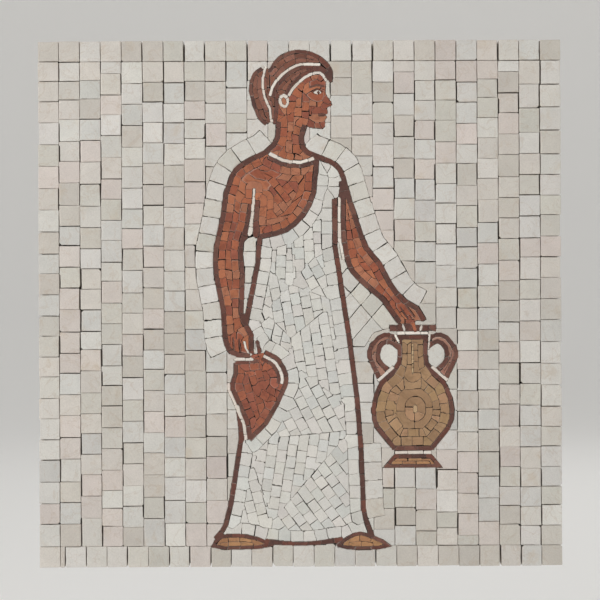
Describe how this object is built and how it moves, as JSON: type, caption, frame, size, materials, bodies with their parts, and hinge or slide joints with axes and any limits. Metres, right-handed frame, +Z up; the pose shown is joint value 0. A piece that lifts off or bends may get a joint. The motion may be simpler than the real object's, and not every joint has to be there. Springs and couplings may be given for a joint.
{
  "type": "mosaic panel",
  "caption": "Square wall panel of hand-cut marble tesserae on a mesh backing, inlaid with a standing woman in a draped dress who holds a leaf fan and a two-handled jar.",
  "frame": {"origin": "centre of the flat back face, where the panel meets the wall", "axes": "+X to the viewer's right, +Z up, the mosaic faces -Y and the wall is at +Y"},
  "size_m": [0.3, 0.01, 0.302],
  "materials": {
    "cream_marble": "honed, hand-cut, beige to pinkish white",
    "white_marble": "honed, hand-cut, off-white",
    "terracotta_stone": "honed, hand-cut, red-brown",
    "dark_red_stone": "honed, hand-cut, dark red-brown",
    "hair_stone": "honed, hand-cut, brown",
    "ochre_stone": "honed, hand-cut, tan",
    "fan_stone": "honed, hand-cut, rust red",
    "backing_mesh": "glass-fibre mesh set in hardened adhesive"
  },
  "bodies": {
    "root": {"arm_gap_left": "cream_marble", "arm_gap_right": "cream_marble", "arm_left_and_chest": "terracotta_stone", "arm_left_inner_outline": "dark_red_stone", "arm_left_outline": "dark_red_stone", "arm_right": "terracotta_stone", "arm_right_outline": "dark_red_stone", "armpit_line": "white_marble", "bottom_course": "cream_marble", "bun_outline": "dark_red_stone", "contour_course_left": "cream_marble", "contour_course_right": "cream_marble", "dress": "white_marble", "dress_left_and_hem_outline": "dark_red_stone", "dress_right_outline": "dark_red_stone", "dress_side_line": "white_marble", "ear": "white_marble", "eye_white": "white_marble", "eyebrow": "dark_red_stone", "face_and_neck": "terracotta_stone", "fan_heel_line": "white_marble", "fan_inner_outline": "dark_red_stone", "fan_leaf": "fan_stone", "fan_outline": "dark_red_stone", "fan_rim_line": "white_marble", "field_left": "cream_marble", "field_right_inner": "cream_marble", "field_right_lower": "cream_marble", "field_right_outer": "cream_marble", "foot_left": "ochre_stone", "foot_right": "ochre_stone", "hair_back": "hair_stone", "hair_bun": "hair_stone", "hair_crown": "hair_stone", "hair_front": "hair_stone", "hair_outline": "dark_red_stone", "hair_ribbon_brow": "white_marble", "hair_ribbon_bun": "white_marble", "hair_ribbon_crown": "white_marble", "hand_line": "white_marble", "handle_gap_left": "cream_marble", "handle_gap_right": "cream_marble", "jar_body": "ochre_stone", "jar_collar_line": "white_marble", "jar_foot": "ochre_stone", "jar_foot_line": "white_marble", "jar_foot_outline": "dark_red_stone", "jar_handle_left": "ochre_stone", "jar_handle_right": "ochre_stone", "jar_outline": "dark_red_stone", "jar_rim": "dark_red_stone", "jar_shoulder_line_left": "white_marble", "jar_shoulder_line_right": "white_marble", "mesh_backing": "backing_mesh", "mouth": "dark_red_stone", "nape_outline": "dark_red_stone", "necklace": "white_marble", "neckline_outline": "dark_red_stone", "pupil": "dark_red_stone", "top_course": "cream_marble"}
  },
  "joints": []
}
